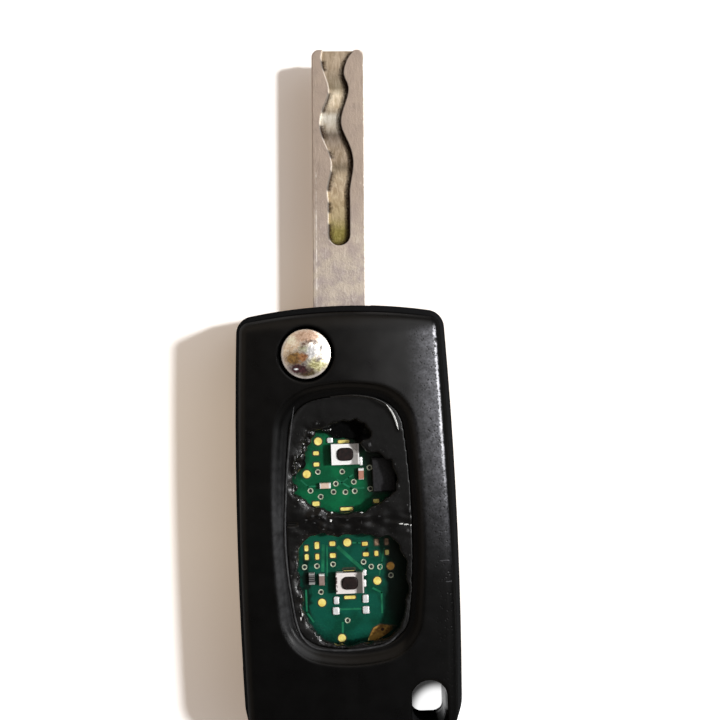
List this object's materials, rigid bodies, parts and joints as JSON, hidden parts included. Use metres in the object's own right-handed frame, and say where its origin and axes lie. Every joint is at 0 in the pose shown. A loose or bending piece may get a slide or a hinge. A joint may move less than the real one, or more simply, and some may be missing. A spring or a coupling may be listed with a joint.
{
  "type": "key fob shell",
  "caption": "Folding car key fob with its blade swung out, a domed release button, and torn rubber buttons that show the circuit board and switches inside.",
  "frame": {"origin": "centre of the flat back face, midway along the case and on its centre line", "axes": "+Y along the open blade, +X to the right seen from the front, +Z out of the front"},
  "size_m": [0.0362, 0.1149, 0.0163],
  "materials": {
    "black_shell": "moulded ABS, worn to a soft sheen",
    "dark_moulding": "moulded nylon",
    "torn_rubber": "silicone rubber, torn and dirty",
    "green_board": "glass and epoxy board under green lacquer",
    "gold_plate": "gold plate on copper",
    "solder": "bright tin solder",
    "capacitor_body": "fired ceramic with tinned ends",
    "resistor_body": "fired ceramic with tinned ends",
    "chip_package": "moulded epoxy",
    "spring_steel": "drawn and plated",
    "switch_steel": "stamped and tinned",
    "cell_steel": "pressed nickel-plated steel",
    "ferrite": "pressed and fired",
    "copper_wire": "enamelled",
    "blade_steel": "milled and scuffed",
    "chromed_button": "chromed, tarnished",
    "plunger_black": "moulded"
  },
  "bodies": {
    "fob": {"front_cover": "black_shell", "back_case": "black_shell", "inner_frame": "dark_moulding", "button_pad": "torn_rubber", "circuit_board": "green_board", "gold_lands": "gold_plate", "solder_lumps": "solder", "chip_capacitors": "capacitor_body", "chip_resistors": "resistor_body", "control_chip": "chip_package", "upper_switch_base": "dark_moulding", "upper_switch_dome": "spring_steel", "upper_switch_cover": "switch_steel", "lower_switch_base": "dark_moulding", "lower_switch_dome": "spring_steel", "lower_switch_cover": "switch_steel", "hub_spring": "spring_steel", "coin_cell": "cell_steel", "cell_contact": "spring_steel", "cell_clip": "spring_steel", "aerial_core": "ferrite", "aerial_winding": "copper_wire", "crystal": "switch_steel"},
    "blade_unit": {"flip_hub": "dark_moulding", "key_blade": "blade_steel", "hub_roll_pin": "spring_steel"},
    "release_button": {"release_button": "chromed_button"},
    "upper_plunger": {"upper_switch_plunger": "plunger_black"},
    "lower_plunger": {"lower_switch_plunger": "plunger_black"}
  },
  "joints": [
    {"name": "blade_fold", "type": "hinge", "parent": "fob", "child": "blade_unit", "pos_m": [-0.00524, 0.02845, 0.0052], "axis": [0, 0, 1], "range_deg": [0, 181.7], "stiffness_Nm_per_rad": 0.005, "springref_deg": -68.75},
    {"name": "release_press", "type": "slide", "parent": "fob", "child": "release_button", "axis": [0, 0, 1], "range_m": [-0.0025, 0], "stiffness_N_per_m": 500, "springref_m": 0.0005, "deforming": ["hub_spring"]},
    {"name": "upper_switch_press", "type": "slide", "parent": "fob", "child": "upper_plunger", "axis": [0, 0, 1], "range_m": [-0.00025, 0], "stiffness_N_per_m": 300},
    {"name": "lower_switch_press", "type": "slide", "parent": "fob", "child": "lower_plunger", "axis": [0, 0, 1], "range_m": [-0.00025, 0], "stiffness_N_per_m": 300}
  ]
}
